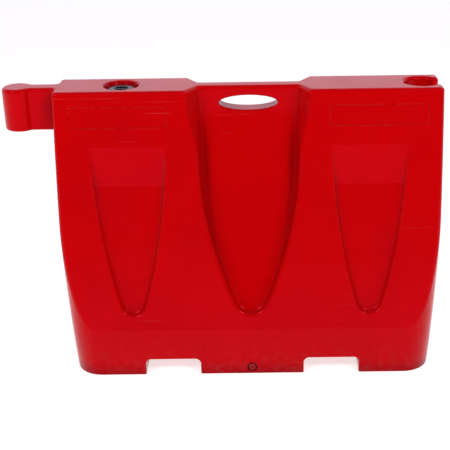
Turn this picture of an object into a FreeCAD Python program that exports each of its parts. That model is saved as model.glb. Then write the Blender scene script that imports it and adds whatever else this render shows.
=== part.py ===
"""Water-filled interlocking road barrier, one module, as a parametric document in millimetres.

Frame: the origin is the centre of the base on the ground, +X runs along the barrier towards the
socket end, -X towards the knuckle end, -Y is the face with the drain plug, +Z is up.
The tank is one rotationally moulded hollow shell.  A screwed filler cap and a screwed drain plug,
each with its seal and its moulded-in threaded insert, are the pieces that come apart.
"""
import FreeCAD, Part
import Sketcher
import math
import os
from FreeCAD import Placement, Rotation, Vector

doc = FreeCAD.newDocument("water_filled_barrier")

# ---------------------------------------------------------------------------------------------
# driving sizes
# ---------------------------------------------------------------------------------------------
SIZES = [
    # alias, value, meaning
    ("body_length", 1000, "length of the tank at its top"),
    ("foot_length", 962, "length of the tank at the ground"),
    ("body_height", 750, "height of the tank"),
    ("base_depth", 410, "depth of the tank at the ground"),
    ("top_depth", 140, "depth across the two sloped faces at the top"),
    ("skirt_height", 136, "height of the upright skirt below the sloped faces"),
    ("corner_radius", 75, "upright corners of the skirt, in plan"),
    ("wall", 5, "wall of the moulding"),
    ("top_rounding", 10, "rounding of all top edges"),
    ("face_rounding", 12, "rounding between a face and the ends and skirt below it"),
    ("foot_rounding", 3, "rounding of the lower edges"),
    # centre recess and its web with the hand hole
    ("web_depth", 44, "thickness of the web at the top"),
    ("web_drop", 84, "height of the nearly upright part of the web"),
    ("web_slope", 0.08, "run over rise of the nearly upright part of the web"),
    ("panel_blend", 260, "radius between the web and the sloped panel"),
    ("panel_step", 13, "depth of the centre panel below the face at its foot"),
    ("centre_half_width", 131, "half width of the centre recess at its floor"),
    ("centre_shoulder", 610, "height where the sides of the centre recess start to draw in"),
    ("centre_foot", 178, "height of the foot of the centre recess"),
    ("centre_foot_radius", 42, "radius at the foot of the centre recess"),
    ("centre_draft", 9, "draft of the centre recess's sides, in degrees"),
    ("flare_face", 26, "how far the mouth of the centre recess flares at the face, each side"),
    ("flare_web", 4, "how far it flares at the web"),
    ("flare_low", 590, "height where the flare starts"),
    ("flare_top", 720, "height where the flare is full"),
    ("centre_rounding", 10, "rounding of the centre recess edges"),
    ("draft_angle", 34, "draft of the side recess walls, in degrees"),
    # side recesses
    ("side_centre", 311, "distance of the side recesses from the middle"),
    ("side_half_width", 89, "half width of a side recess"),
    ("side_shoulder", 625, "height where the sides of a side recess start to draw in"),
    ("side_foot", 180, "height of the foot of a side recess"),
    ("side_foot_radius", 27, "radius at the foot of a side recess"),
    ("side_step", 11, "depth of a side recess below the face"),
    ("ramp_top", 612, "height where a side recess starts"),
    ("ramp_foot", 510, "height where a side recess reaches its depth"),
    ("side_rounding", 5, "rounding of the side recess edges"),
    # label fields
    ("label_centre", 335, "distance of the label fields from the middle"),
    ("label_length", 250, "length of a label field"),
    ("label_top", 711, "upper edge of a label field"),
    ("label_foot", 660, "lower edge of a label field"),
    ("label_step", 0.9, "depth of a label field"),
    # hand hole
    ("hand_height", 705, "height of the middle of the hand hole"),
    ("hand_width", 152, "width of the hand hole"),
    ("hand_tall", 38, "height of the hand hole"),
    ("hand_rounding", 5, "rounding of the rim of the hand hole"),
    # fork slots
    ("fork_centre", 213, "distance of the fork slots from the middle"),
    ("fork_width", 148, "width of a fork slot"),
    ("fork_tall", 46, "height of a fork slot"),
    ("fork_radius", 15, "radius of the upper corners of a fork slot"),
    ("fork_rounding", 4, "rounding of the mouth of a fork slot"),
    # knuckle, neck and socket that join one module to the next
    ("knuckle_reach", 600, "distance of the knuckle axis from the middle"),
    ("knuckle_radius", 41, "radius of the knuckle"),
    ("knuckle_tall", 112, "height of the knuckle"),
    ("neck_width", 50, "width of the neck that carries the knuckle"),
    ("neck_fillet", 12, "hollow fillet between the knuckle and the neck"),
    ("neck_root_fillet", 12, "hollow fillet between the neck and the tank"),
    ("knuckle_rounding", 6, "rounding of the lower edge of the knuckle"),
    ("socket_reach", 450, "distance of the socket axis from the middle"),
    ("joint_clearance", 4, "gap round a knuckle and its neck in a neighbour's socket"),
    ("joint_floor_gap", 8, "gap under a knuckle in a neighbour's socket"),
    ("lip_rounding", 10, "rounding of the socket's lips at the end face"),
    ("lip_inner_rounding", 6, "rounding of the socket's lips inside"),
    # filler
    ("filler_reach", 330, "distance of the filler axis from the middle"),
    ("filler_mouth_radius", 47, "radius of the filler recess at the top"),
    ("filler_floor_radius", 41, "radius of the filler recess at its floor"),
    ("filler_deep", 18, "depth of the filler recess"),
    ("filler_rounding", 7, "rounding of the edge of the filler recess"),
    ("ring_radius", 31, "outer radius of the filler insert"),
    ("ring_flange_radius", 34, "radius of the flange of the filler insert"),
    ("ring_flange", 2, "thickness of the flange of the filler insert"),
    ("ring_deep", 24, "depth of the filler insert below the recess floor"),
    ("cap_thread_radius", 25, "crest radius of the cap's thread"),
    ("cap_thread_step", 1.6, "depth of the cap's thread"),
    ("cap_pitch", 6, "pitch of the cap's thread"),
    ("cap_turns", 2.5, "turns of thread on the cap"),
    ("cap_flange_radius", 33.5, "radius of the cap's flange"),
    ("cap_flange", 5.5, "thickness of the cap's flange"),
    ("cap_rounding", 2, "rounding of the cap's rim"),
    ("cap_seal_thick", 2, "thickness of the cap's seal"),
    ("cap_stem_deep", 20, "length of the cap's stem"),
    ("cap_stem_wall", 3, "wall of the cap's stem"),
    ("cap_grip_radius", 18, "radius of the grip well in the cap"),
    ("cap_grip_deep", 9, "depth of the grip well in the cap"),
    ("cap_grip_bar", 6, "thickness of the grip bar across the well"),
    # drain
    ("drain_height", 20, "height of the drain axis"),
    ("drain_mouth_radius", 14, "radius of the drain recess at the face"),
    ("drain_floor_radius", 12, "radius of the drain recess at its floor"),
    ("drain_deep", 7, "depth of the drain recess"),
    ("nut_radius", 10.5, "outer radius of the drain insert"),
    ("nut_deep", 18, "depth of the drain insert behind the recess floor"),
    ("plug_thread_radius", 7, "crest radius of the drain plug's thread"),
    ("plug_thread_step", 1.2, "depth of the drain plug's thread"),
    ("plug_pitch", 4, "pitch of the drain plug's thread"),
    ("plug_turns", 2.5, "turns of thread on the drain plug"),
    ("plug_head_radius", 9.5, "radius of the drain plug's head"),
    ("plug_head", 4.5, "thickness of the drain plug's head"),
    ("plug_rounding", 1, "rounding of the drain plug's head"),
    ("plug_seal_thick", 1.5, "thickness of the drain plug's seal"),
    ("plug_stem_deep", 15, "length of the drain plug's stem"),
    ("plug_slot", 2.6, "width of the coin slot in the drain plug"),
    ("plug_slot_deep", 2.2, "depth of the coin slot"),
    # fits
    ("thread_clearance", 0.4, "gap between a thread and its insert, all round"),
    ("boss_wall", 5, "wall of the tank's bosses round the inserts"),
]

sheet = doc.addObject("Spreadsheet::Sheet", "Sizes")
for row, (alias, value, meaning) in enumerate(SIZES, start=1):
    sheet.set(f"A{row}", meaning)
    sheet.set(f"B{row}", str(value))
    sheet.setAlias(f"B{row}", alias)
doc.recompute()


def size(alias):
    """A driving size as a plain number."""
    return float(sheet.get(alias))


def value_of(expression):
    """An expression over the sheet as a plain number."""
    result = sheet.evalExpression(expression)
    return float(getattr(result, "Value", result))


# expressions that several pieces share
TOP = "Sizes.body_height"
HALF_BASE = "Sizes.base_depth / 2"
HALF_TOP = "Sizes.top_depth / 2"
FACE_SLOPE = f"(({HALF_BASE} - {HALF_TOP}) / (Sizes.body_height - Sizes.skirt_height))"

SOCKET_RADIUS = "(Sizes.knuckle_radius + Sizes.joint_clearance)"
SOCKET_SLOT = "(Sizes.neck_width + 2 * Sizes.joint_clearance)"
SOCKET_DEEP = "(Sizes.knuckle_tall + Sizes.joint_floor_gap)"


def face_at(height):
    """Distance of the sloped face from the middle plane at a height, as an expression."""
    return f"({HALF_TOP} + {FACE_SLOPE} * (Sizes.body_height - ({height})))"


# ---------------------------------------------------------------------------------------------
# small tools for sketches, solids and roundings
# ---------------------------------------------------------------------------------------------
def plane(name):
    """Rotation that lays a sketch's own XY plane on one of the frame's planes."""
    if name == "XY":
        return Rotation()
    if name == "XZ":
        return Rotation(Vector(1, 0, 0), 90)
    return Rotation(Vector(0, 1, 0), Vector(0, 0, 1), Vector(1, 0, 0), "ZXY")


def new_sketch(name, plane_name, base=("0", "0", "0"), tilt=None):
    """A free sketch on a plane through a point whose coordinates are expressions.

    tilt leans an XZ plane back by an angle, so that it lies along the sloped face.
    """
    sketch = doc.addObject("Sketcher::SketchObject", name)
    turn = plane(plane_name)
    if tilt is not None:
        turn = Rotation(Vector(1, 0, 0), 90 - value_of(tilt))
    sketch.Placement = Placement(Vector(*[value_of(c) for c in base]), turn)
    if tilt is not None:
        sketch.setExpression(".Placement.Rotation.Angle", f"90 deg - ({tilt})")
    for axis, expression in zip("xyz", base):
        sketch.setExpression(f".Placement.Base.{axis}", expression)
    return sketch


def pin_point(sketch, geometry, end, x_expression, y_expression):
    """Ties an end of a sketch element to a place given by two expressions."""
    for kind, expression in (("DistanceX", x_expression), ("DistanceY", y_expression)):
        index = sketch.addConstraint(
            Sketcher.Constraint(kind, geometry, end, value_of(expression)))
        sketch.setExpression(f"Constraints[{index}]", expression)


def polygon(name, plane_name, corners, base=("0", "0", "0"), tilt=None):
    """A closed polygon whose corners are pairs of expressions."""
    sketch = new_sketch(name, plane_name, base, tilt)
    places = [Vector(value_of(x), value_of(y), 0) for x, y in corners]
    for index, place in enumerate(places):
        following = places[(index + 1) % len(places)]
        sketch.addGeometry(Part.LineSegment(place, following), False)
    for index, (x, y) in enumerate(corners):
        before = (index - 1) % len(corners)
        sketch.addConstraint(Sketcher.Constraint("Coincident", before, 2, index, 1))
        pin_point(sketch, index, 1, x, y)
    return sketch


def extrude(name, sketch, direction, forward, backward="0"):
    """A solid pulled from a sketch along a direction."""
    solid = doc.addObject("Part::Extrusion", name)
    solid.Base = sketch
    solid.DirMode = "Custom"
    solid.Dir = direction
    solid.Solid = True
    solid.LengthFwd = value_of(forward)
    solid.setExpression("LengthFwd", forward)
    solid.LengthRev = value_of(backward)
    solid.setExpression("LengthRev", backward)
    return solid


def boolean(kind, name, *parts):
    """A boolean of whole objects: Cut takes two, MultiFuse and MultiCommon take a list."""
    result = doc.addObject(f"Part::{kind}", name)
    if kind == "Cut":
        result.Base, result.Tool = parts
    else:
        result.Shapes = list(parts)
    return result


def mirrored(name, source, normal):
    """The same solid on the other side of a plane through the origin."""
    result = doc.addObject("Part::Mirroring", name)
    result.Source = source
    result.Normal = normal
    return result


def round_edges(name, base, *groups):
    """Rounds edges of a solid in one go; each group is a size of the sheet and a test of an edge."""
    doc.recompute()
    picked = []
    for alias, wanted in groups:
        radius = size(alias)
        edges = [(index, radius, radius)
                 for index, edge in enumerate(base.Shape.Edges, start=1) if wanted(edge)]
        print(f"{name}: {alias} on {len(edges)} edges")
        picked.extend(edges)
    result = doc.addObject("Part::Fillet", name)
    result.Base = base
    result.Edges = picked
    doc.recompute()
    if result.Shape.isNull() or not result.Shape.isValid():
        raise RuntimeError(f"{name} can't be rounded")
    return result


def near(value, target, tolerance=1.0):
    """True when two lengths agree."""
    return abs(value - target) < tolerance


def rounded_rectangle(name, length, depth, radius, height):
    """A rounded rectangle centred on the Z axis; sizes are expressions."""
    sketch = new_sketch(name, "XY", ("0", "0", height))
    half_x, half_y, r = (value_of(f"({length}) / 2"), value_of(f"({depth}) / 2"), value_of(radius))
    corners = ((1, -1, -90), (1, 1, 0), (-1, 1, 90), (-1, -1, 180))
    arcs = []
    for x_sign, y_sign, start in corners:
        centre = Vector(x_sign * (half_x - r), y_sign * (half_y - r), 0)
        circle = Part.Circle(centre, Vector(0, 0, 1), r)
        arc = Part.ArcOfCircle(circle, math.radians(start), math.radians(start + 90))
        arcs.append(sketch.addGeometry(arc, False))
        pin_point(sketch, arcs[-1], 3, f"{x_sign} * (({length}) / 2 - ({radius}))",
                  f"{y_sign} * (({depth}) / 2 - ({radius}))")
    for index, arc in enumerate(arcs):
        following = arcs[(index + 1) % 4]
        curve, after = sketch.Geometry[arc], sketch.Geometry[following]
        line = sketch.addGeometry(Part.LineSegment(curve.EndPoint, after.StartPoint), False)
        sketch.addConstraint(Sketcher.Constraint("Tangent", arc, 2, line, 1))
        sketch.addConstraint(Sketcher.Constraint("Tangent", line, 2, following, 1))
    corner = sketch.addConstraint(Sketcher.Constraint("Radius", arcs[0], r))
    sketch.setExpression(f"Constraints[{corner}]", radius)
    for arc in arcs[1:]:
        sketch.addConstraint(Sketcher.Constraint("Equal", arcs[0], arc))
    return sketch


def u_outline(name, base, tilt, centre, half_width, shoulder, foot, foot_radius, top):
    """A U: upright sides, long side arcs and a round foot, drawn on a tilted plane.

    base is a point of the plane, tilt the angle of the plane to the vertical, and the heights
    are measured along the plane from that point.  The radius of the long arcs follows from the
    rest: they are tangent to the upright sides and to the foot.
    """
    sketch = new_sketch(name, "XZ", base, tilt)
    x0, a, z1, z0, r, z2 = [value_of(e) for e in
                            (centre, half_width, shoulder, foot, foot_radius, top)]
    rise = z1 - z0 - r
    big = (a * a + rise * rise - r * r) / (2 * (a - r))
    foot_centre = Vector(x0, z0 + r, 0)
    lean = math.atan2(rise, big - a)
    normal = Vector(0, 0, 1)
    right_big = Part.ArcOfCircle(Part.Circle(Vector(x0 + a - big, z1, 0), normal, big), -lean, 0)
    left_big = Part.ArcOfCircle(Part.Circle(Vector(x0 - a + big, z1, 0), normal, big),
                                math.pi, math.pi + lean)
    round_foot = Part.ArcOfCircle(Part.Circle(foot_centre, normal, r), math.pi + lean,
                                  2 * math.pi - lean)
    right_side = Part.LineSegment(Vector(x0 + a, z1, 0), Vector(x0 + a, z2, 0))
    top_side = Part.LineSegment(Vector(x0 + a, z2, 0), Vector(x0 - a, z2, 0))
    left_side = Part.LineSegment(Vector(x0 - a, z2, 0), Vector(x0 - a, z1, 0))
    ring = [sketch.addGeometry(piece, False) for piece in
            (right_big, right_side, top_side, left_side, left_big, round_foot)]
    for index in (0, 3, 4, 5):
        sketch.addConstraint(Sketcher.Constraint(
            "Tangent", ring[index], 2, ring[(index + 1) % 6], 1))
    for index in (1, 2):
        sketch.addConstraint(Sketcher.Constraint(
            "Coincident", ring[index], 2, ring[index + 1], 1))
    pin_point(sketch, ring[1], 1, f"({centre}) + ({half_width})", shoulder)
    pin_point(sketch, ring[3], 2, f"({centre}) - ({half_width})", shoulder)
    pin_point(sketch, ring[2], 1, f"({centre}) + ({half_width})", top)
    pin_point(sketch, ring[2], 2, f"({centre}) - ({half_width})", top)
    pin_point(sketch, ring[5], 3, centre, f"({foot}) + ({foot_radius})")
    bend = sketch.addConstraint(Sketcher.Constraint("Radius", ring[5], r))
    sketch.setExpression(f"Constraints[{bend}]", foot_radius)
    return sketch


# ---------------------------------------------------------------------------------------------
# the tank, built twice: once for its outside and once, smaller by the wall, for its inside
# ---------------------------------------------------------------------------------------------
REACH = "(Sizes.base_depth + Sizes.body_length)"      # clear of the tank on every side
FACE_TILT = f"atan({FACE_SLOPE})"
NORMAL = f"sqrt(1 + {FACE_SLOPE} * {FACE_SLOPE})"     # horizontal run of one unit across the face


def envelope(tag, inset):
    """The tank without recesses: a rounded plan that widens upwards, cut by the two faces."""
    sections = []
    for label, share in (("foot", 0), ("low", 1 / 3), ("high", 2 / 3), ("top", 1)):
        length = f"(Sizes.body_length - (Sizes.body_length - Sizes.foot_length) * {(1 - share) ** 3})"
        height = f"({inset}) + (({TOP}) - 2 * ({inset})) * {share}"
        sections.append(rounded_rectangle(
            f"{tag}_plan_{label}", f"{length} - 2 * {inset}", f"Sizes.base_depth - 2 * {inset}",
            f"Sizes.corner_radius - {inset}", height))
    plan = doc.addObject("Part::Loft", f"{tag}_plan")
    plan.Sections = sections
    plan.Solid = True
    plan.Ruled = False
    bottom, skirt = f"-{HALF_BASE}", "Sizes.skirt_height"
    lean = f"{inset} * {NORMAL}"
    side = extrude(f"{tag}_side", polygon(f"{tag}_side_outline", "YZ", [
        (bottom, "0"), (HALF_BASE, "0"), (HALF_BASE, f"{skirt} - {lean} / {FACE_SLOPE}"),
        (f"{HALF_TOP} - {lean}", TOP), (f"-({HALF_TOP} - {lean})", TOP),
        (bottom, f"{skirt} - {lean} / {FACE_SLOPE}")]),
        Vector(1, 0, 0), REACH, REACH)
    return boolean("MultiCommon", f"{tag}_envelope", plan, side)


def recess(tag, name, centre, half_width, shoulder, foot, foot_radius, step, behind, inset):
    """A drafted U cut into the face: two parallel outlines, behind the floor and before the face.

    step is the depth of the floor under the face at the foot, and behind is how much further in
    the U starts.  The outlines grow by the wall in the inner copy, and outwards by the draft.
    """
    sections = []
    for label, beyond in (("inner", f"-({behind})"), ("outer", f"({step}) + 20")):
        spread = f"({beyond}) * tan(Sizes.draft_angle) + {inset}"
        distance = f"({face_at('0')} + (({beyond}) - ({step})) * {NORMAL})"
        sections.append(u_outline(
            f"{tag}_{name}_{label}", ("0", f"-{distance}", "0"), FACE_TILT, centre,
            f"({half_width}) + {spread}", f"({shoulder}) * {NORMAL}",
            f"({foot}) * {NORMAL} - ({spread})", f"({foot_radius}) + {spread}",
            f"{TOP} * 1.2"))
    prism = doc.addObject("Part::Loft", f"{tag}_{name}_prism")
    prism.Sections = sections
    prism.Solid = True
    prism.Ruled = True
    return prism


def floor_slab(name, corners):
    """Everything in front of a recess's floor; corners run down the floor as seen from the side."""
    first, last = corners[0], corners[-1]
    outline = polygon(f"{name}_outline", "YZ", [
        *[(f"-({distance})", height) for distance, height in corners],
        (f"-{REACH}", last[1]), (f"-{REACH}", first[1])])
    return extrude(name, outline, Vector(1, 0, 0), REACH, REACH)


def smooth_step(share):
    """Rises smoothly from 0 to 1 while share goes from 0 to 1."""
    share = min(max(share, 0.0), 1.0)
    return share * share * (3 - 2 * share)


def half_width_points(half_width, shoulder, foot, foot_radius, top):
    """Right half of a U as (distance, height): upright side, long arc, round foot, to the middle."""
    rise = shoulder - foot - foot_radius
    long_radius = ((half_width ** 2 + rise ** 2 - foot_radius ** 2)
                   / (2 * (half_width - foot_radius)))
    lean = math.atan2(rise, long_radius - half_width)
    upright = [(half_width, shoulder + (top - shoulder) * share)
               for share in (1, 0.62, 0.5, 0.38, 0.26, 0.13)]
    arc = [(half_width - long_radius * (1 - math.cos(turn)), shoulder - long_radius * math.sin(turn))
           for turn in (lean * step / 5 for step in range(6))]
    foot_arc = [(foot_radius * math.cos(turn), foot + foot_radius * (1 - math.sin(turn)))
                for turn in (lean + (math.pi / 2 - lean) * step / 4 for step in range(1, 5))]
    return upright + arc + foot_arc


def centre_prism(tag, inset):
    """The centre recess's room: a smooth U whose sides draw back towards its open mouth at the top.

    The two outlines are splines, because the flare runs out in the side without a crease.
    """
    wall = value_of(inset)
    slope, across = value_of(FACE_SLOPE), value_of(NORMAL)
    draft = math.tan(math.radians(size("centre_draft")))
    mouth_depth = size("top_depth") / 2 - size("web_depth") / 2
    wires = []
    for behind_face in (size("panel_step") + 50, -20):
        spread = (size("panel_step") - behind_face) * draft + wall
        flare = (size("flare_face")
                 - (size("flare_face") - size("flare_web")) * behind_face / mouth_depth)
        side = half_width_points(
            size("centre_half_width") + spread, size("centre_shoulder"),
            size("centre_foot") - spread, size("centre_foot_radius") + spread,
            size("body_height") * 1.2)
        span = size("flare_top") - size("flare_low")
        right = [(x + flare * smooth_step((z - size("flare_low")) / span), z) for x, z in side]
        outline = right + [(-x, z) for x, z in reversed(right[:-1])]
        places = [Vector(x, -(value_of(face_at("0")) - slope * z - behind_face * across), z)
                  for x, z in outline]
        curve = Part.BSplineCurve()
        curve.interpolate(places)
        wires.append(Part.Wire([curve.toShape(), Part.LineSegment(places[-1], places[0]).toShape()]))
    prism = doc.addObject("Part::Feature", f"{tag}_centre_prism")
    prism.Shape = Part.makeLoft(wires, True, True)
    prism.Placement = Placement()
    return prism


def centre_recess(tag, inset):
    """Room in front of the web and of the panel below it."""
    over = f"{TOP} * 1.15"
    lean = f"{inset} * {NORMAL}"
    web_at_top = f"(Sizes.web_depth / 2 - {lean})"
    knee = "(Sizes.body_height - Sizes.web_drop)"
    knee_out = f"({web_at_top} + Sizes.web_slope * Sizes.web_drop)"
    foot = "Sizes.centre_foot"
    foot_out = f"({face_at(foot)} - Sizes.panel_step * {NORMAL} - {lean})"
    panel_slope = f"(({foot_out} - {knee_out}) / ({knee} - {foot}))"
    slab = floor_slab(f"{tag}_panel", [
        (f"{web_at_top} + Sizes.web_slope * ({TOP} - {over})", over),
        (knee_out, knee),
        (f"{foot_out} + {panel_slope} * {foot}", "0")])
    knee_height = value_of(knee)
    slab = round_edges(f"{tag}_panel_blend", slab, ("panel_blend", lambda edge: (
        near(edge.CenterOfMass.z, knee_height) and edge.BoundBox.XLength > 100)))
    return boolean("MultiCommon", f"{tag}_centre_recess", centre_prism(tag, inset), slab)


def side_recess(tag, inset):
    """One shallow U beside the middle; its floor ramps up to the face at the top."""
    lean = f"{inset} * {NORMAL}"
    floor = f"(Sizes.side_step * {NORMAL} + {lean})"
    slab = floor_slab(f"{tag}_side_floor", [
        (f"{face_at('Sizes.ramp_top')} - {lean}", f"Sizes.ramp_top + {inset}"),
        (f"{face_at('Sizes.ramp_foot')} - {floor}", f"Sizes.ramp_foot + {inset}"),
        (f"{face_at('0')} - {floor}", "0")])
    prism = recess(tag, "side", "Sizes.side_centre", "Sizes.side_half_width",
                   "Sizes.side_shoulder", "Sizes.side_foot", "Sizes.side_foot_radius",
                   "Sizes.side_step", "15", inset)
    return boolean("MultiCommon", f"{tag}_side_recess", prism, slab)


def label_field(tag):
    """A shallow flat field for a reflective sheet."""
    field = polygon(f"{tag}_label_outline", "XZ", [
        ("Sizes.label_centre - Sizes.label_length / 2", f"Sizes.label_foot * {NORMAL}"),
        ("Sizes.label_centre + Sizes.label_length / 2", f"Sizes.label_foot * {NORMAL}"),
        ("Sizes.label_centre + Sizes.label_length / 2", f"Sizes.label_top * {NORMAL}"),
        ("Sizes.label_centre - Sizes.label_length / 2", f"Sizes.label_top * {NORMAL}")],
        ("0", f"-({face_at('0')} - Sizes.label_step * {NORMAL})", "0"), FACE_TILT)
    outward = field.Placement.Rotation.multVec(Vector(0, 0, 1))
    return extrude(f"{tag}_label_field", field, outward, "Sizes.label_step + 10")


def hand_hole(tag, inset):
    """The oval opening through the web, with its sleeve's wall added in the inner copy."""
    oval = doc.addObject("Part::Ellipse", f"{tag}_hand_outline")
    oval.Placement = Placement(Vector(0, 0, size("hand_height")), plane("XZ"))
    oval.setExpression(".Placement.Base.z", "Sizes.hand_height")
    oval.setExpression("MajorRadius", f"Sizes.hand_width / 2 + {inset}")
    oval.setExpression("MinorRadius", f"Sizes.hand_tall / 2 + {inset}")
    return extrude(f"{tag}_hand_hole", oval, Vector(0, -1, 0), "Sizes.base_depth",
                   "Sizes.base_depth")


def fork_slot(tag, inset):
    """A tunnel under the tank for a fork's tine, open at the ground."""
    tunnel = doc.addObject("Part::Box", f"{tag}_fork_box")
    tunnel.setExpression("Length", f"Sizes.fork_width + 2 * {inset}")
    tunnel.setExpression("Width", "2 * Sizes.base_depth")
    tunnel.setExpression("Height", f"2 * Sizes.fork_tall + {inset}")
    tunnel.setExpression(".Placement.Base.x", f"Sizes.fork_centre - Sizes.fork_width / 2 - {inset}")
    tunnel.setExpression(".Placement.Base.y", "-Sizes.base_depth")
    tunnel.setExpression(".Placement.Base.z", "-Sizes.fork_tall")
    roof = size("fork_tall")
    return round_edges(f"{tag}_fork_slot", tunnel, ("fork_radius", lambda edge: (
        edge.BoundBox.YLength > size("base_depth") and edge.CenterOfMass.z > roof - 1)))


def cylinder(name, radius, height, base):
    """An upright cylinder from expressions."""
    solid = doc.addObject("Part::Cylinder", name)
    solid.setExpression("Radius", radius)
    solid.setExpression("Height", height)
    for axis, expression in zip("xyz", base):
        solid.setExpression(f".Placement.Base.{axis}", expression)
    return solid


def block(name, length, width, height, base):
    """A box from expressions."""
    solid = doc.addObject("Part::Box", name)
    solid.setExpression("Length", length)
    solid.setExpression("Width", width)
    solid.setExpression("Height", height)
    for axis, expression in zip("xyz", base):
        solid.setExpression(f".Placement.Base.{axis}", expression)
    return solid


def socket(tag, inset):
    """The upright pocket that a neighbour's knuckle drops into, with the slot for its neck."""
    floor = f"({TOP} - {SOCKET_DEEP} - {inset})"
    tall = f"(2 * {SOCKET_DEEP})"
    bore = cylinder(f"{tag}_socket_bore", f"{SOCKET_RADIUS} + {inset}", tall,
                    ("Sizes.socket_reach", "0", floor))
    slot = block(f"{tag}_socket_slot", "Sizes.body_length / 2", f"{SOCKET_SLOT} + 2 * {inset}",
                 tall, ("Sizes.socket_reach", f"-{SOCKET_SLOT} / 2 - {inset}", floor))
    return boolean("MultiFuse", f"{tag}_socket", bore, slot)


def knuckle(tag, inset, rounded):
    """The knuckle and its neck, reaching back into the tank."""
    floor = f"({TOP} - Sizes.knuckle_tall + {inset})"
    tall = f"(Sizes.knuckle_tall - 2 * {inset})"
    reach = size("knuckle_reach")
    post = cylinder(f"{tag}_knuckle_post", f"Sizes.knuckle_radius - {inset}", tall,
                    ("-Sizes.knuckle_reach", "0", floor))
    neck = block(f"{tag}_neck", "Sizes.knuckle_reach - Sizes.body_length / 2 + 30",
                 f"Sizes.neck_width - 2 * {inset}", tall,
                 ("-Sizes.knuckle_reach", f"-Sizes.neck_width / 2 + {inset}", floor))
    rough = boolean("MultiFuse", f"{tag}_knuckle_rough", post, neck)
    if not rounded:
        return rough
    return round_edges(f"{tag}_knuckle", rough, ("neck_fillet", lambda edge: (
        edge.BoundBox.ZLength > size("knuckle_tall") / 2 and edge.BoundBox.XLength < 0.1
        and -reach < edge.CenterOfMass.x < -size("body_length") / 2 - 30)))


def tank(tag, inset):
    """The tank with every recess that shows on its inside too, all edges still sharp."""
    side = side_recess(tag, inset)
    front = boolean("MultiFuse", f"{tag}_front_recesses", centre_recess(tag, inset), side,
                    mirrored(f"{tag}_side_recess_left", side, Vector(1, 0, 0)))
    back = mirrored(f"{tag}_back_recesses", front, Vector(0, 1, 0))
    slot = fork_slot(tag, inset)
    hollow = boolean("MultiFuse", f"{tag}_hollows", front, back, slot,
                     mirrored(f"{tag}_fork_slot_left", slot, Vector(1, 0, 0)), socket(tag, inset))
    return boolean("Cut", f"{tag}_tank", envelope(tag, inset), hollow)


# ---------------------------------------------------------------------------------------------
# which edges of the tank get which rounding
# ---------------------------------------------------------------------------------------------
def reach_x(edge):
    """Largest distance of an edge from the middle, along the barrier."""
    return max(abs(edge.BoundBox.XMin), abs(edge.BoundBox.XMax))


def reach_y(edge):
    """Largest distance of an edge from the middle plane, across the barrier."""
    return max(abs(edge.BoundBox.YMin), abs(edge.BoundBox.YMax))


def at_height(edge, height):
    """True for an edge that lies at one height."""
    return near(edge.BoundBox.ZMin, height, 0.1) and near(edge.BoundBox.ZMax, height, 0.1)


def on_top(edge):
    """Edges of the top surfaces."""
    return at_height(edge, size("body_height"))


def on_face_border(edge):
    """The border of a sloped face: up the ends, round the corners and along the skirt."""
    box = edge.BoundBox
    end, skirt = size("body_length") / 2, size("skirt_height")
    at_end = (near(abs(edge.CenterOfMass.x), end, 3) and box.ZMin > 3 * skirt
              and box.ZLength > value_of(SOCKET_DEEP) and reach_y(edge) > size("top_depth") / 2 + 30)
    corner = (box.ZMin > skirt - 5 and box.ZMax < size("body_height") - 2 * value_of(SOCKET_DEEP)
              and near(reach_y(edge), size("base_depth") / 2) and near(reach_x(edge), end, 4))
    return at_end or corner or (at_height(edge, skirt) and box.XLength > 0.8 * size("foot_length"))


def upright_beside(edge, half_width):
    """True for an upright edge at this distance from the middle plane."""
    return (edge.BoundBox.XLength < 1 and near(abs(edge.CenterOfMass.y), half_width)
            and edge.BoundBox.ZLength > size("knuckle_tall") - 10
            and edge.BoundBox.ZMin > size("body_height") / 2)


def at_neck_root(edge):
    """Where the neck's sides meet the end of the tank."""
    return (upright_beside(edge, size("neck_width") / 2)
            and near(edge.CenterOfMass.x, -size("body_length") / 2))


def on_lip_end(edge):
    """Where the socket's slot meets the end of the tank."""
    return (upright_beside(edge, value_of(SOCKET_SLOT) / 2)
            and edge.CenterOfMass.x > size("body_length") / 2 - 5)


def on_lip_inside(edge):
    """Where the socket's slot meets its bore."""
    return (upright_beside(edge, value_of(SOCKET_SLOT) / 2)
            and size("socket_reach") < edge.CenterOfMass.x < size("body_length") / 2 - 5)


def on_centre_mouth(edge):
    """The long edge of the centre recess on a sloped face."""
    box = edge.BoundBox
    full = 2 * (size("centre_half_width") + size("flare_face"))
    return edge.Length > 1.4 * size("body_height") and near(box.XLength, full, 15)


def on_centre_floor(edge):
    """The edge round the floor of the centre recess, up to the top."""
    box = edge.BoundBox
    half = size("centre_half_width")
    low = box.XLength > 1.8 * half and box.ZLength > size("body_height") / 2
    beside_web = (half - 11 < reach_x(edge) < half + 1 and box.XLength < 10
                  and box.ZLength > 40 and reach_y(edge) < size("web_depth"))
    return (low and edge.Length < 1.4 * size("body_height")) or beside_web


def on_side_recess(edge):
    """Edges of the side recesses, without the ramp's end at the top."""
    box = edge.BoundBox
    return (near(abs(edge.CenterOfMass.x), size("side_centre"), 106) and box.ZLength > 10
            and box.ZMin > size("side_foot") - 12 and box.ZMax < size("ramp_top") + 1)


def on_side_mouth(edge):
    """The part of a side recess's edges that lies on the face."""
    return on_side_recess(edge) and reach_y(edge) > size("base_depth") / 2 - 14


def on_side_floor(edge):
    """The part of a side recess's edges that lies on its floor."""
    return (on_side_recess(edge) and not on_side_mouth(edge)
            and not near(edge.BoundBox.ZMax, size("ramp_top")))


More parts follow.
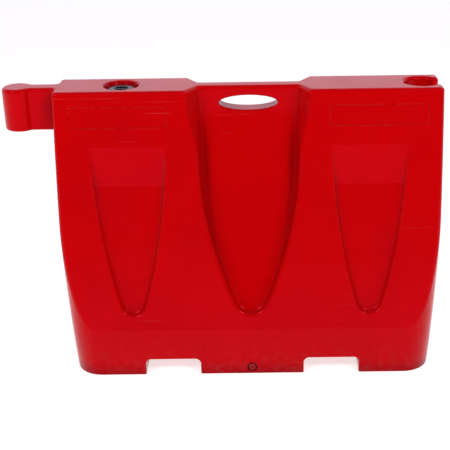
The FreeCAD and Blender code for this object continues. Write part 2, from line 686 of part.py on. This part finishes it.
def on_fork_mouth(edge):
    """Edges of the fork slots on the skirt."""
    box = edge.BoundBox
    return (near(reach_y(edge), size("base_depth") / 2, 0.1) and box.YLength < 0.1
            and box.ZMin < size("fork_tall") and box.ZMax < size("fork_tall") + 1
            and not at_height(edge, 0) and near(abs(edge.CenterOfMass.x), size("fork_centre"),
                                                size("fork_width") / 2 + 1))


def on_knuckle_foot(edge):
    """The lower edges of the knuckle and its neck, without the corner against the tank."""
    return (at_height(edge, size("body_height") - size("knuckle_tall"))
            and edge.BoundBox.XMax < -size("body_length") / 2 + 1 and edge.BoundBox.XLength > 1)


def on_foot(edge):
    """The outer edges at the ground, with those of the fork slots."""
    return at_height(edge, 0)


# ---------------------------------------------------------------------------------------------
# screwed closures: insert, seal and screw cap, drawn with +Z outwards and z = 0 on their seat
# ---------------------------------------------------------------------------------------------
def revolved(name, corners):
    """A body of revolution about Z from corners (radius, height)."""
    solid = doc.addObject("Part::Revolution", name)
    solid.Source = polygon(f"{name}_section", "XZ", corners)
    solid.Axis = Vector(0, 0, 1)
    solid.Angle = 360
    solid.Solid = True
    return solid


def ridge(name, root, crest, pitch, turns, start, gap):
    """A helical ridge of a right-hand screw; gap makes it larger all round, to cut its mate."""
    helix = doc.addObject("Part::Helix", f"{name}_helix")
    helix.setExpression("Radius", root)
    helix.setExpression("Pitch", pitch)
    helix.setExpression("Height", f"({pitch}) * ({turns})")
    helix.setExpression(".Placement.Base.z", start)
    section = polygon(f"{name}_section", "XZ", [
        (f"{root} - 0.6", f"-0.34 * {pitch} - {gap}"), (f"{crest} + {gap}", f"-0.14 * {pitch} - {gap}"),
        (f"{crest} + {gap}", f"0.14 * {pitch} + {gap}"), (f"{root} - 0.6", f"0.34 * {pitch} + {gap}")],
        ("0", "0", start))
    sweep = doc.addObject("Part::Sweep", name)
    sweep.Sections = [section]
    sweep.Spine = (helix, [])
    sweep.Frenet = True
    sweep.Solid = True
    sweep.Placement = Placement(Vector(), Rotation(Vector(0, 0, 1), 90))
    return sweep


class Closure:
    """The sizes of one screwed closure, as expressions."""

    def __init__(self, name, seat, turn, crest, step, pitch, turns, stem):
        self.name = name
        self.seat = seat
        self.turn = turn
        self.crest = crest
        self.root = f"({crest} - {step})"
        self.pitch = pitch
        self.turns = turns
        self.stem_foot = stem

    def thread(self):
        """The ridge on the screw's stem; it starts half a pitch above the stem's foot."""
        return ridge(f"{self.name}_thread", self.root, self.crest, self.pitch, self.turns,
                     f"({self.stem_foot} + 0.5 * {self.pitch})", "0")

    def tapped_hole(self):
        """The insert's hole: a bore with the same thread, larger by the gap and right through.

        It starts three whole pitches lower, so that it stays in step with the screw.
        """
        groove = ridge(f"{self.name}_groove", self.root, self.crest, self.pitch,
                       f"({self.turns} + 4)", f"({self.stem_foot} - 2.5 * {self.pitch})", GAP)
        reach = f"(8 * {self.pitch})"
        bore = cylinder(f"{self.name}_bore", f"{self.root} + {GAP}", f"2 * {reach}",
                        ("0", "0", f"-{reach}"))
        return boolean("MultiFuse", f"{self.name}_tapped_hole", bore, groove)

    def place(self, piece, label):
        """Puts a finished piece on the closure's seat and names it."""
        piece.Placement = Placement(Vector(*[value_of(c) for c in self.seat]), self.turn)
        for axis, expression in zip("xyz", self.seat):
            piece.setExpression(f".Placement.Base.{axis}", expression)
        piece.Label = label
        return piece


GAP = "Sizes.thread_clearance"

filler = Closure(
    "filler", ("-Sizes.filler_reach", "0", f"{TOP} - Sizes.filler_deep"), Rotation(),
    "Sizes.cap_thread_radius", "Sizes.cap_thread_step", "Sizes.cap_pitch", "Sizes.cap_turns",
    "(Sizes.ring_flange + Sizes.cap_seal_thick - Sizes.cap_stem_deep)")
drain = Closure(
    "drain", ("0", f"-({HALF_BASE} - Sizes.drain_deep)", "Sizes.drain_height"),
    Rotation(Vector(1, 0, 0), 90),
    "Sizes.plug_thread_radius", "Sizes.plug_thread_step", "Sizes.plug_pitch", "Sizes.plug_turns",
    "(Sizes.plug_seal_thick - Sizes.plug_stem_deep)")


def filler_ring():
    """The threaded ring moulded into the filler's seat, with its flange on the seat."""
    blank = revolved("filler_ring_blank", [
        ("0", "-Sizes.ring_deep"), ("Sizes.ring_radius", "-Sizes.ring_deep"),
        ("Sizes.ring_radius", "0"), ("Sizes.ring_flange_radius", "0"),
        ("Sizes.ring_flange_radius", "Sizes.ring_flange"), ("0", "Sizes.ring_flange")])
    ring = boolean("Cut", "filler_ring", blank, filler.tapped_hole())
    return filler.place(ring, "filler_ring")


def cap_seal():
    """The flat rubber ring between the insert and the cap."""
    top = "Sizes.ring_flange + Sizes.cap_seal_thick"
    inside, outside = "Sizes.cap_thread_radius + 1", "Sizes.cap_flange_radius - 1"
    seal = revolved("cap_seal", [(inside, "Sizes.ring_flange"), (outside, "Sizes.ring_flange"),
                                 (outside, top), (inside, top)])
    return filler.place(seal, "cap_seal")


def fill_cap():
    """The screw cap: a flange with a round well for the fingers and a bar across it."""
    under = "(Sizes.ring_flange + Sizes.cap_seal_thick)"
    top = f"({under} + Sizes.cap_flange)"
    well = f"({top} - Sizes.cap_grip_deep)"
    inside = f"({filler.root} - Sizes.cap_stem_wall)"
    turned = revolved("cap_turned", [
        ("0", f"{well} - Sizes.cap_stem_wall"), (inside, f"{well} - Sizes.cap_stem_wall"),
        (inside, filler.stem_foot), (filler.root, filler.stem_foot), (filler.root, under),
        ("Sizes.cap_flange_radius", under), ("Sizes.cap_flange_radius", top),
        ("Sizes.cap_grip_radius", top), ("Sizes.cap_grip_radius", well), ("0", well)])
    top_height = value_of(top)
    rounded = round_edges("cap_rounded", turned, ("cap_rounding", lambda edge: (
        at_height(edge, top_height) and edge.Length > 2 * size("cap_grip_radius"))))
    bar = block("cap_bar", "2 * Sizes.cap_grip_radius + 1", "Sizes.cap_grip_bar",
                "Sizes.cap_grip_deep", ("-Sizes.cap_grip_radius - 0.5", "-Sizes.cap_grip_bar / 2",
                                         f"{well} - 1"))
    bar = round_edges("cap_bar_rounded", bar, ("cap_rounding", lambda edge: (
        edge.BoundBox.XLength > size("cap_grip_radius")
        and edge.CenterOfMass.z > value_of(well))))
    cap = boolean("MultiFuse", "fill_cap", rounded, bar, filler.thread())
    return filler.place(cap, "fill_cap")


def drain_insert():
    """The threaded bush moulded into the drain's seat."""
    blank = cylinder("drain_insert_blank", "Sizes.nut_radius", "Sizes.nut_deep",
                     ("0", "0", "-Sizes.nut_deep"))
    bush = boolean("Cut", "drain_insert", blank, drain.tapped_hole())
    return drain.place(bush, "drain_insert")


def drain_seal():
    """The flat rubber ring under the drain plug's head."""
    inside, outside = "Sizes.plug_thread_radius + 0.7", "Sizes.plug_head_radius - 0.3"
    seal = revolved("drain_seal", [(inside, "0"), (outside, "0"),
                                   (outside, "Sizes.plug_seal_thick"),
                                   (inside, "Sizes.plug_seal_thick")])
    return drain.place(seal, "drain_seal")


def drain_plug():
    """The screw plug with a coin slot in its head."""
    under = "Sizes.plug_seal_thick"
    top = f"({under} + Sizes.plug_head)"
    turned = revolved("plug_turned", [
        ("0", drain.stem_foot), (drain.root, drain.stem_foot), (drain.root, under),
        ("Sizes.plug_head_radius", under), ("Sizes.plug_head_radius", top), ("0", top)])
    top_height = value_of(top)
    rounded = round_edges("plug_rounded", turned, ("plug_rounding", lambda edge: (
        at_height(edge, top_height))))
    slot = block("plug_slot", "3 * Sizes.plug_head_radius", "Sizes.plug_slot", "Sizes.plug_head",
                 ("-1.5 * Sizes.plug_head_radius", "-Sizes.plug_slot / 2",
                  f"{top} - Sizes.plug_slot_deep"))
    screw = boolean("MultiFuse", "plug_screw", rounded, drain.thread())
    return drain.place(boolean("Cut", "drain_plug", screw, slot), "drain_plug")


# ---------------------------------------------------------------------------------------------
# the shell: outside, roundings, shallow fields and seats, then the hollow inside
# ---------------------------------------------------------------------------------------------
def seat_cutter(closure, name, floor, mouth, deep, hole, behind):
    """The recess for a closure and the hole behind it that opens into the tank."""
    cutter = revolved(name, [
        ("0", f"-({behind}) - 3 * Sizes.wall"), (hole, f"-({behind}) - 3 * Sizes.wall"),
        (hole, "0"), (floor, "0"), (mouth, deep), (mouth, f"{deep} + 5"), ("0", f"{deep} + 5")])
    return closure.place(cutter, name)


def boss(closure, name, mouth, deep, hole, behind):
    """The material left standing round a seat and its insert."""
    body = revolved(name, [
        ("0", f"-({behind})"), (f"{hole} + Sizes.boss_wall", f"-({behind})"),
        (f"{hole} + Sizes.boss_wall", "-Sizes.boss_wall"),
        (f"{mouth} + Sizes.boss_wall", "-Sizes.boss_wall"),
        (f"{mouth} + Sizes.boss_wall", f"{deep} + 5"), ("0", f"{deep} + 5")])
    return closure.place(body, name)


# mouth radius, depth, hole radius and depth of the hole behind each seat
FILLER_SEAT = ("Sizes.filler_mouth_radius", "Sizes.filler_deep", "Sizes.ring_radius",
               "Sizes.ring_deep")
DRAIN_SEAT = ("Sizes.drain_mouth_radius", "Sizes.drain_deep", "Sizes.nut_radius", "Sizes.nut_deep")


def body_shell():
    """The hollow one-piece moulding."""
    whole = boolean("MultiFuse", "outer_whole", tank("outer", "0"), knuckle("outer", "0", True))
    main = round_edges(
        "outer_rounded", whole,
        ("face_rounding", on_face_border), ("neck_root_fillet", at_neck_root),
        ("centre_rounding", on_centre_floor), ("centre_rounding", on_centre_mouth),
        ("lip_rounding", on_lip_end), ("lip_inner_rounding", on_lip_inside),
        ("top_rounding", on_top))
    sides = round_edges("outer_side_mouths", main, ("side_rounding", on_side_mouth))
    floors = round_edges("outer_side_floors", sides, ("side_rounding", on_side_floor))
    low = round_edges("outer_low", floors, ("knuckle_rounding", on_knuckle_foot))
    low = round_edges("outer_fork_mouths", low, ("fork_rounding", on_fork_mouth))
    low = round_edges("outer_foot", low, ("foot_rounding", on_foot))

    holed = boolean("Cut", "outer_holed", low, hand_hole("outer", "0"))
    rim = size("hand_width") / 2 + 1
    holed = round_edges("outer_hand_rim", holed, ("hand_rounding", lambda edge: (
        reach_x(edge) < rim and edge.BoundBox.ZMin > size("label_foot")
        and edge.Length > size("hand_width") and reach_y(edge) < size("top_depth") / 2)))

    field = label_field("right")
    fields = [field, mirrored("left_label_field", field, Vector(1, 0, 0))]
    fields += [mirrored(f"back_{each.Name}", each, Vector(0, 1, 0)) for each in fields]
    filler_seat = seat_cutter(filler, "filler_seat", "Sizes.filler_floor_radius", *FILLER_SEAT)
    drain_seat = seat_cutter(drain, "drain_seat", "Sizes.drain_floor_radius", *DRAIN_SEAT)
    cuts = boolean("MultiFuse", "surface_cuts", *fields, filler_seat, drain_seat)
    outside = boolean("Cut", "outside", holed, cuts)
    filler_x = -size("filler_reach")
    outside = round_edges("outside_rounded", outside, ("filler_rounding", lambda edge: (
        on_top(edge) and near(edge.BoundBox.Center.x, filler_x, 2)
        and edge.Length > 5 * size("filler_mouth_radius"))))

    wall = "Sizes.wall"
    room = boolean("MultiFuse", "room", tank("inner", wall), knuckle("inner", wall, False))
    bosses = boolean("MultiFuse", "bosses", boss(filler, "filler_boss", *FILLER_SEAT),
                     boss(drain, "drain_boss", *DRAIN_SEAT), hand_hole("inner", wall))
    hollow = boolean("Cut", "hollow", room, bosses)
    shell = boolean("Cut", "body_shell", outside, hollow)
    shell.Label = "body_shell"
    return shell


pieces = [body_shell(), filler_ring(), cap_seal(), fill_cap(), drain_insert(), drain_seal(),
          drain_plug()]
doc.recompute()

# ---------------------------------------------------------------------------------------------
# checks, then one STEP file for each piece
# ---------------------------------------------------------------------------------------------
for item in doc.Objects:
    if "Invalid" in item.State or "Error" in item.State:
        raise RuntimeError(f"{item.Label} didn't recompute: {item.State}")
os.makedirs("parts", exist_ok=True)
for piece in pieces:
    shape = piece.Shape
    if shape.isNull() or not shape.isValid() or len(shape.Solids) != 1:
        raise RuntimeError(f"{piece.Label} isn't one sound solid")
    box = shape.BoundBox
    print(f"{piece.Label}: {shape.Volume / 1000:.1f} cm3,",
          f"x {box.XMin:.1f} to {box.XMax:.1f}, y {box.YMin:.1f} to {box.YMax:.1f},",
          f"z {box.ZMin:.1f} to {box.ZMax:.1f}")
    shape.exportStep(f"parts/{piece.Label}.step")
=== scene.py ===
# %% [markdown]
# # A water-filled road barrier
#
# The barrier is one hollow moulding of red polyethylene with two screwed closures.  The solid
# model already has every real edge, so this script adds what a solid can't say: how the surface
# looks, how it is worn, and the light it stands in.  Lengths are metres and +Z is up; the barrier
# runs along X and the face with the drain plug looks towards -Y.

# %% Load the frame and open a blank scene
import math

import bpy
from mathutils import Matrix, Vector

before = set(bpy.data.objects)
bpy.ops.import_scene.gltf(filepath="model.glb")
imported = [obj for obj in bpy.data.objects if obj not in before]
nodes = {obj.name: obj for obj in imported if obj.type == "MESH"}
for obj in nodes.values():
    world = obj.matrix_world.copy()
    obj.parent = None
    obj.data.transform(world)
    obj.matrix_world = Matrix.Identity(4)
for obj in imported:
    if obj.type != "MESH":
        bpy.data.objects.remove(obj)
scene = bpy.context.scene
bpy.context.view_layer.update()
print("pieces of the solid model:", sorted(nodes))

# %% [markdown]
# ## Shared surface effects
#
# Every effect is a node group that hands out a mask, a value or a height.  They read Object
# coordinates, so a grain stays where it is on the piece when the piece moves.


# %% Helpers for node groups
def new_group(name, outputs):
    """An empty node group with named float outputs, and its Object coordinates."""
    group = bpy.data.node_groups.new(name, "ShaderNodeTree")
    for output in outputs:
        group.interface.new_socket(output, in_out="OUTPUT", socket_type="NodeSocketFloat")
    coordinates = group.nodes.new("ShaderNodeTexCoord").outputs["Object"]
    result = group.nodes.new("NodeGroupOutput")
    return group, coordinates, result


def noise(tree, coordinates, scale, detail=3.0, roughness=0.5, distortion=0.0):
    """A noise texture's value from 0 to 1; scale is in features per metre."""
    node = tree.nodes.new("ShaderNodeTexNoise")
    node.inputs["Scale"].default_value = scale
    node.inputs["Detail"].default_value = detail
    node.inputs["Roughness"].default_value = roughness
    node.inputs["Distortion"].default_value = distortion
    tree.links.new(coordinates, node.inputs["Vector"])
    return node.outputs["Fac"]


def span(tree, value, low, high, new_low=0.0, new_high=1.0):
    """Maps low..high to new_low..new_high and clamps it."""
    node = tree.nodes.new("ShaderNodeMapRange")
    for name, number in (("From Min", low), ("From Max", high),
                         ("To Min", new_low), ("To Max", new_high)):
        node.inputs[name].default_value = number
    tree.links.new(value, node.inputs["Value"])
    return node.outputs["Result"]


def calculate(tree, operation, *values):
    """A maths node; values are sockets or plain numbers."""
    node = tree.nodes.new("ShaderNodeMath")
    node.operation = operation
    for index, value in enumerate(values):
        if isinstance(value, (int, float)):
            node.inputs[index].default_value = value
        else:
            tree.links.new(value, node.inputs[index])
    return node.outputs["Value"]


def stretched(tree, coordinates, factors, turn=0.0):
    """Coordinates squeezed along an axis, for streaks and scratches."""
    node = tree.nodes.new("ShaderNodeMapping")
    node.inputs["Scale"].default_value = factors
    node.inputs["Rotation"].default_value = (0.0, turn, turn / 2)
    tree.links.new(coordinates, node.inputs["Vector"])
    return node.outputs["Vector"]


print("helpers ready")

# %% [markdown]
# Rotational moulding leaves a skin like fine orange peel on top of slow waves, because the plastic
# melts onto the mould wall unevenly and shrinks off it as it cools.  The slow waves bend the
# reflections of the lamps, and the fine peel softens their edges.

# %% The moulded skin: a height in metres
skin, skin_at, skin_out = new_group("moulded_skin", ["Height"])
waves = calculate(skin, "MULTIPLY", noise(skin, skin_at, 7.0, 1.0), 0.0011)
peel = calculate(skin, "MULTIPLY", noise(skin, skin_at, 190.0, 2.0, 0.45), 0.000025)
grain = calculate(skin, "MULTIPLY", noise(skin, skin_at, 900.0, 2.0), 0.000006)
height = calculate(skin, "ADD", waves, calculate(skin, "ADD", peel, grain))
skin.links.new(height, skin_out.inputs["Height"])
print("skin: waves of 1.1 mm over 140 mm, peel of 0.025 mm over 5 mm")

# %% [markdown]
# A barrier lives outdoors on a lorry.  Its foot collects road dust, its faces get long thin
# scratches from its neighbours, and handling dulls the gloss in patches.

# %% Wear: scratches, dull patches and road dust, each from 0 to 1
wear, wear_at, wear_out = new_group("road_wear", ["Scratch", "Dull", "Dust"])
masks = []
for turn, seed in ((0.25, 1.0), (-0.5, 3.1), (1.2, 5.7)):
    streaks = noise(wear, stretched(wear, wear_at, (2.5, 2.5 * seed, 160.0), turn), 1.0, 2.0, 0.6)
    lines = span(wear, streaks, 0.70, 0.735)
    patch = span(wear, noise(wear, wear_at, 3.0 + seed, 2.0), 0.52, 0.66)
    masks.append(calculate(wear, "MULTIPLY", lines, patch))
scratch = calculate(wear, "MAXIMUM", masks[0], calculate(wear, "MAXIMUM", masks[1], masks[2]))
dull = span(wear, noise(wear, wear_at, 5.0, 5.0, 0.62, 0.4), 0.42, 0.68)
up = wear.nodes.new("ShaderNodeSeparateXYZ")
wear.links.new(wear_at, up.inputs["Vector"])
low = span(wear, up.outputs["Z"], 0.16, 0.0)
specks = span(wear, noise(wear, wear_at, 60.0, 6.0, 0.7), 0.45, 0.75)
dust = calculate(wear, "MULTIPLY", calculate(wear, "MULTIPLY", low, low), specks)
for name, socket in (("Scratch", scratch), ("Dull", dull), ("Dust", dust)):
    wear.links.new(socket, wear_out.inputs[name])
print("wear masks:", [item.name for item in wear.interface.items_tree])

# %% [markdown]
# Convex edges rub pale.  The bevel node compares the true normal with one averaged over a few
# millimetres; where they differ there is an edge.

# %% Edge rub: 1 on edges, 0 on flats
rub, rub_at, rub_out = new_group("edge_rub", ["Rub"])
soft_normal = rub.nodes.new("ShaderNodeBevel")
soft_normal.samples = 4
soft_normal.inputs["Radius"].default_value = 0.004
true_normal = rub.nodes.new("ShaderNodeNewGeometry")
agree = rub.nodes.new("ShaderNodeVectorMath")
agree.operation = "DOT_PRODUCT"
rub.links.new(soft_normal.outputs["Normal"], agree.inputs[0])
rub.links.new(true_normal.outputs["Normal"], agree.inputs[1])
edge = span(rub, agree.outputs["Value"], 0.995, 0.93)
broken = span(rub, noise(rub, rub_at, 40.0, 4.0, 0.6), 0.38, 0.62)
rub.links.new(calculate(rub, "MULTIPLY", edge, broken), rub_out.inputs["Rub"])
print("edge rub ready")

# %% [markdown]
# Painted shade: the plastic is painted darker where two walls meet, in place of the shade that
# falls into corners.  The ambient occlusion node counts how much of the sky a point sees within a
# few centimetres, so its mask follows the recesses and the root of the neck.

# %% Painted shade in hollows: 1 in tight corners, 0 on open faces
painted_shade_nodes, shade_at, shade_out = new_group("painted_hollow_shade", ["Shade"])
open_sky = painted_shade_nodes.nodes.new("ShaderNodeAmbientOcclusion")
open_sky.samples = 8
open_sky.inputs["Distance"].default_value = 0.045
tight = span(painted_shade_nodes, open_sky.outputs["AO"], 0.98, 0.55)
uneven = span(painted_shade_nodes, noise(painted_shade_nodes, shade_at, 25.0, 3.0), 0.3, 0.7, 0.8, 1.0)
painted_shade_nodes.links.new(calculate(painted_shade_nodes, "MULTIPLY", tight, uneven), shade_out.inputs["Shade"])
print("hollow shade ready")


# %% [markdown]
# ## Materials
#
# Each material is one Principled shader.  The groups above only feed its colour, roughness and
# bump; the plain numbers are set on the shader itself.


# %% Helpers for materials
PLASTIC_IOR = 1.5


def new_material(name, roughness):
    """A material with a Principled shader and the shared groups beside it."""
    material = bpy.data.materials.new(name)
    material.use_nodes = True
    tree = material.node_tree
    shader = tree.nodes["Principled BSDF"]
    shader.inputs["Roughness"].default_value = roughness
    shader.inputs["IOR"].default_value = PLASTIC_IOR
    return material, tree, shader


def use(tree, group):
    """Places a shared group in a material."""
    node = tree.nodes.new("ShaderNodeGroup")
    node.node_tree = group
    return node


def blend(tree, factor, first, second):
    """A mix of two colours; first may be a socket or a colour."""
    node = tree.nodes.new("ShaderNodeMix")
    node.data_type = "RGBA"
    tree.links.new(factor, node.inputs["Factor"])
    for socket, colour in ((node.inputs["A"], first), (node.inputs["B"], second)):
        if isinstance(colour, tuple):
            socket.default_value = (*colour, 1.0)
        else:
            tree.links.new(colour, socket)
    return node.outputs["Result"]


def bump(tree, shader, height_socket, strength):
    """Bumps the shader's normal with a height in metres."""
    node = tree.nodes.new("ShaderNodeBump")
    node.inputs["Strength"].default_value = strength
    node.inputs["Distance"].default_value = 1.0
    tree.links.new(height_socket, node.inputs["Height"])
    tree.links.new(node.outputs["Normal"], shader.inputs["Normal"])


def plastic(name, colour, shade, roughness, tint, dust_colour, bump_strength=1.0):
    """Moulded plastic: two close shades, painted hollow shade, pale scratches and edges, low dust.
    """
    material, tree, shader = new_material(name, roughness)
    shader.inputs["Specular IOR Level"].default_value = 0.40
    shader.inputs["Specular Tint"].default_value = (*tint, 1.0)
    worn, rubbed, skinned = use(tree, wear), use(tree, rub), use(tree, skin)
    pale = tuple(0.75 * c + 0.06 for c in colour)
    base = blend(tree, worn.outputs["Dull"], colour, shade)
    # Painted shade: hollows are blended towards a darker copy of the colour.
    painted_shade_amount = calculate(tree, "MULTIPLY", use(tree, painted_shade_nodes).outputs["Shade"], 0.75)
    base = blend(tree, painted_shade_amount, base, tuple(0.38 * c for c in colour))
    marks = calculate(tree, "MULTIPLY", calculate(
        tree, "MAXIMUM", worn.outputs["Scratch"], rubbed.outputs["Rub"]), 0.35)
    base = blend(tree, marks, base, pale)
    base = blend(tree, calculate(tree, "MULTIPLY", worn.outputs["Dust"], 0.35), base, dust_colour)
    tree.links.new(base, shader.inputs["Base Color"])
    rough = span(tree, worn.outputs["Dull"], 0.0, 1.0, roughness, roughness + 0.10)
    rough = calculate(tree, "ADD", rough, calculate(tree, "MULTIPLY", marks, 0.5))
    tree.links.new(rough, shader.inputs["Roughness"])
    bump(tree, shader, skinned.outputs["Height"], bump_strength)
    return material


# %% [markdown]
# The shell is a deep signal red.  Pigment sits right under the surface of polyethylene, so a
# head-on reflection is tinted red while a glancing one stays white.

# %% The red shell and the red plug
shell_red = plastic("shell_red", (0.50, 0.0006, 0.0012), (0.46, 0.0004, 0.0016), 0.15,
                    (1.0, 0.06, 0.14), (0.30, 0.06, 0.06))
plug_red = plastic("plug_red", (0.44, 0.0008, 0.004), (0.38, 0.0006, 0.004), 0.2,
                   (1.0, 0.4, 0.45), (0.25, 0.10, 0.09), 0.5)
print("reds:", shell_red.name, plug_red.name)

# %% [markdown]
# The cap is injection moulded, so it has hardly any orange peel.  The inserts are matt, and the
# seals are a dusty rubber.

# %% Black cap, inserts and seals
cap_black = plastic("cap_black", (0.010, 0.010, 0.012), (0.015, 0.015, 0.017), 0.16,
                    (0.75, 0.75, 0.75), (0.06, 0.055, 0.05), 0.25)
insert_black = plastic("insert_black", (0.022, 0.022, 0.024), (0.03, 0.03, 0.03), 0.45,
                       (1.0, 1.0, 1.0), (0.07, 0.065, 0.06), 0.4)
seal_rubber, rubber_tree, rubber_shader = new_material("seal_rubber", 0.62)
bloom = span(rubber_tree, noise(rubber_tree, rubber_tree.nodes.new(
    "ShaderNodeTexCoord").outputs["Object"], 120.0, 4.0, 0.6), 0.4, 0.75)
rubber_tree.links.new(blend(rubber_tree, bloom, (0.012, 0.012, 0.013), (0.03, 0.03, 0.03)),
                      rubber_shader.inputs["Base Color"])
bump(rubber_tree, rubber_shader, use(rubber_tree, skin).outputs["Height"], 0.6)
print("blacks:", cap_black.name, insert_black.name, seal_rubber.name)

# %% Give each piece its material
FINISH = {
    "body_shell": shell_red, "drain_plug": plug_red, "fill_cap": cap_black,
    "filler_ring": insert_black, "drain_insert": insert_black,
    "cap_seal": seal_rubber, "drain_seal": seal_rubber,
}
for name, material in FINISH.items():
    piece = nodes[name]
    piece.data.materials.clear()
    piece.data.materials.append(material)
print({name: nodes[name].material_slots[0].name for name in FINISH})

# %% [markdown]
# ## Floor, light and camera
#
# The studio is bright behind the barrier and dims towards the front, with a faint cool tint, so
# the faces stay deep and the tops pick up the backdrop.  Two soft boxes high on the left and right
# put small highlights on the rounded edges and model the recesses.


# %% A pale floor that reaches the horizon
def floor_plane(reach):
    """A wide level floor under the barrier."""
    mesh = bpy.data.meshes.new("floor")
    corners = [(-reach, -reach, 0), (reach, -reach, 0), (reach, reach, 0), (-reach, reach, 0)]
    mesh.from_pydata(corners, [], [(0, 1, 2, 3)])
    plane = bpy.data.objects.new("floor", mesh)
    scene.collection.objects.link(plane)
    return plane


FLOOR_REACH = 40.0
floor = floor_plane(FLOOR_REACH)
floor_paint, floor_tree, floor_shader = new_material("floor_paint", 0.9)
floor_shader.inputs["Base Color"].default_value = (0.60, 0.60, 0.60, 1.0)
floor_shader.inputs["Specular IOR Level"].default_value = 0.1
floor_shader.inputs["Emission Color"].default_value = (1.0, 1.0, 1.0, 1.0)
floor_shader.inputs["Emission Strength"].default_value = 0.7
floor.data.materials.append(floor_paint)

# %% The bright room and two soft boxes
room = bpy.data.worlds.new("white_room")
room.use_nodes = True
room_tree = room.node_tree
room_tree.nodes["Background"].inputs["Color"].default_value = (1.0, 0.93, 1.07, 1.0)
towards = room_tree.nodes.new("ShaderNodeSeparateXYZ")
room_tree.links.new(room_tree.nodes.new("ShaderNodeTexCoord").outputs["Generated"],
                    towards.inputs["Vector"])
backdrop = span(room_tree, towards.outputs["Y"], -0.1, 0.6, 0.10, 1.0)
room_tree.links.new(backdrop, room_tree.nodes["Background"].inputs["Strength"])
scene.world = room


def soft_box(name, place, target, wide, tall, power):
    """A rectangular area light that looks at a point."""
    lamp = bpy.data.lights.new(name, "AREA")
    lamp.shape = "RECTANGLE"
    lamp.size = wide
    lamp.size_y = tall
    lamp.energy = power
    box = bpy.data.objects.new(name, lamp)
    box.location = place
    box.rotation_euler = (Vector(target) - Vector(place)).to_track_quat("-Z", "Y").to_euler()
    scene.collection.objects.link(box)


BOX_SIDE, BOX_POWER = 0.7, 52.0
for name, side in (("box_left", -1), ("box_right", 1)):
    soft_box(name, (side * 1.8, -2.3, 2.5), (side * 0.1, 0.0, 0.45), BOX_SIDE, BOX_SIDE, BOX_POWER)

# %% [markdown]
# The camera stands at chest height in front of the barrier and looks down about 24 degrees with a
# short telephoto lens.  A small shift keeps the uprights where they are in the frame.

# %% The camera
YAW, PITCH, ROLL = 0.0046, 0.4116, 0.0148     # radians
CAMERA_PLACE = (0.04165, -2.4876, 1.4064)
forward = Vector((-math.sin(YAW) * math.cos(PITCH), math.cos(YAW) * math.cos(PITCH),
                  -math.sin(PITCH)))
level = Vector((math.cos(YAW), math.sin(YAW), 0.0))
down = forward.cross(level)
right = math.cos(ROLL) * level + math.sin(ROLL) * down
upward = math.sin(ROLL) * level - math.cos(ROLL) * down
turned = Matrix((right, upward, -forward)).transposed().to_4x4()

lens = bpy.data.cameras.new("camera")
lens.sensor_width = 36.0
lens.lens = 78.35
lens.shift_x = -0.0822
lens.shift_y = 0.0215
camera = bpy.data.objects.new("camera", lens)
camera.matrix_world = Matrix.Translation(CAMERA_PLACE) @ turned
scene.collection.objects.link(camera)
scene.camera = camera
scene.view_settings.view_transform = "Standard"
print("camera at", [round(value, 3) for value in camera.location])
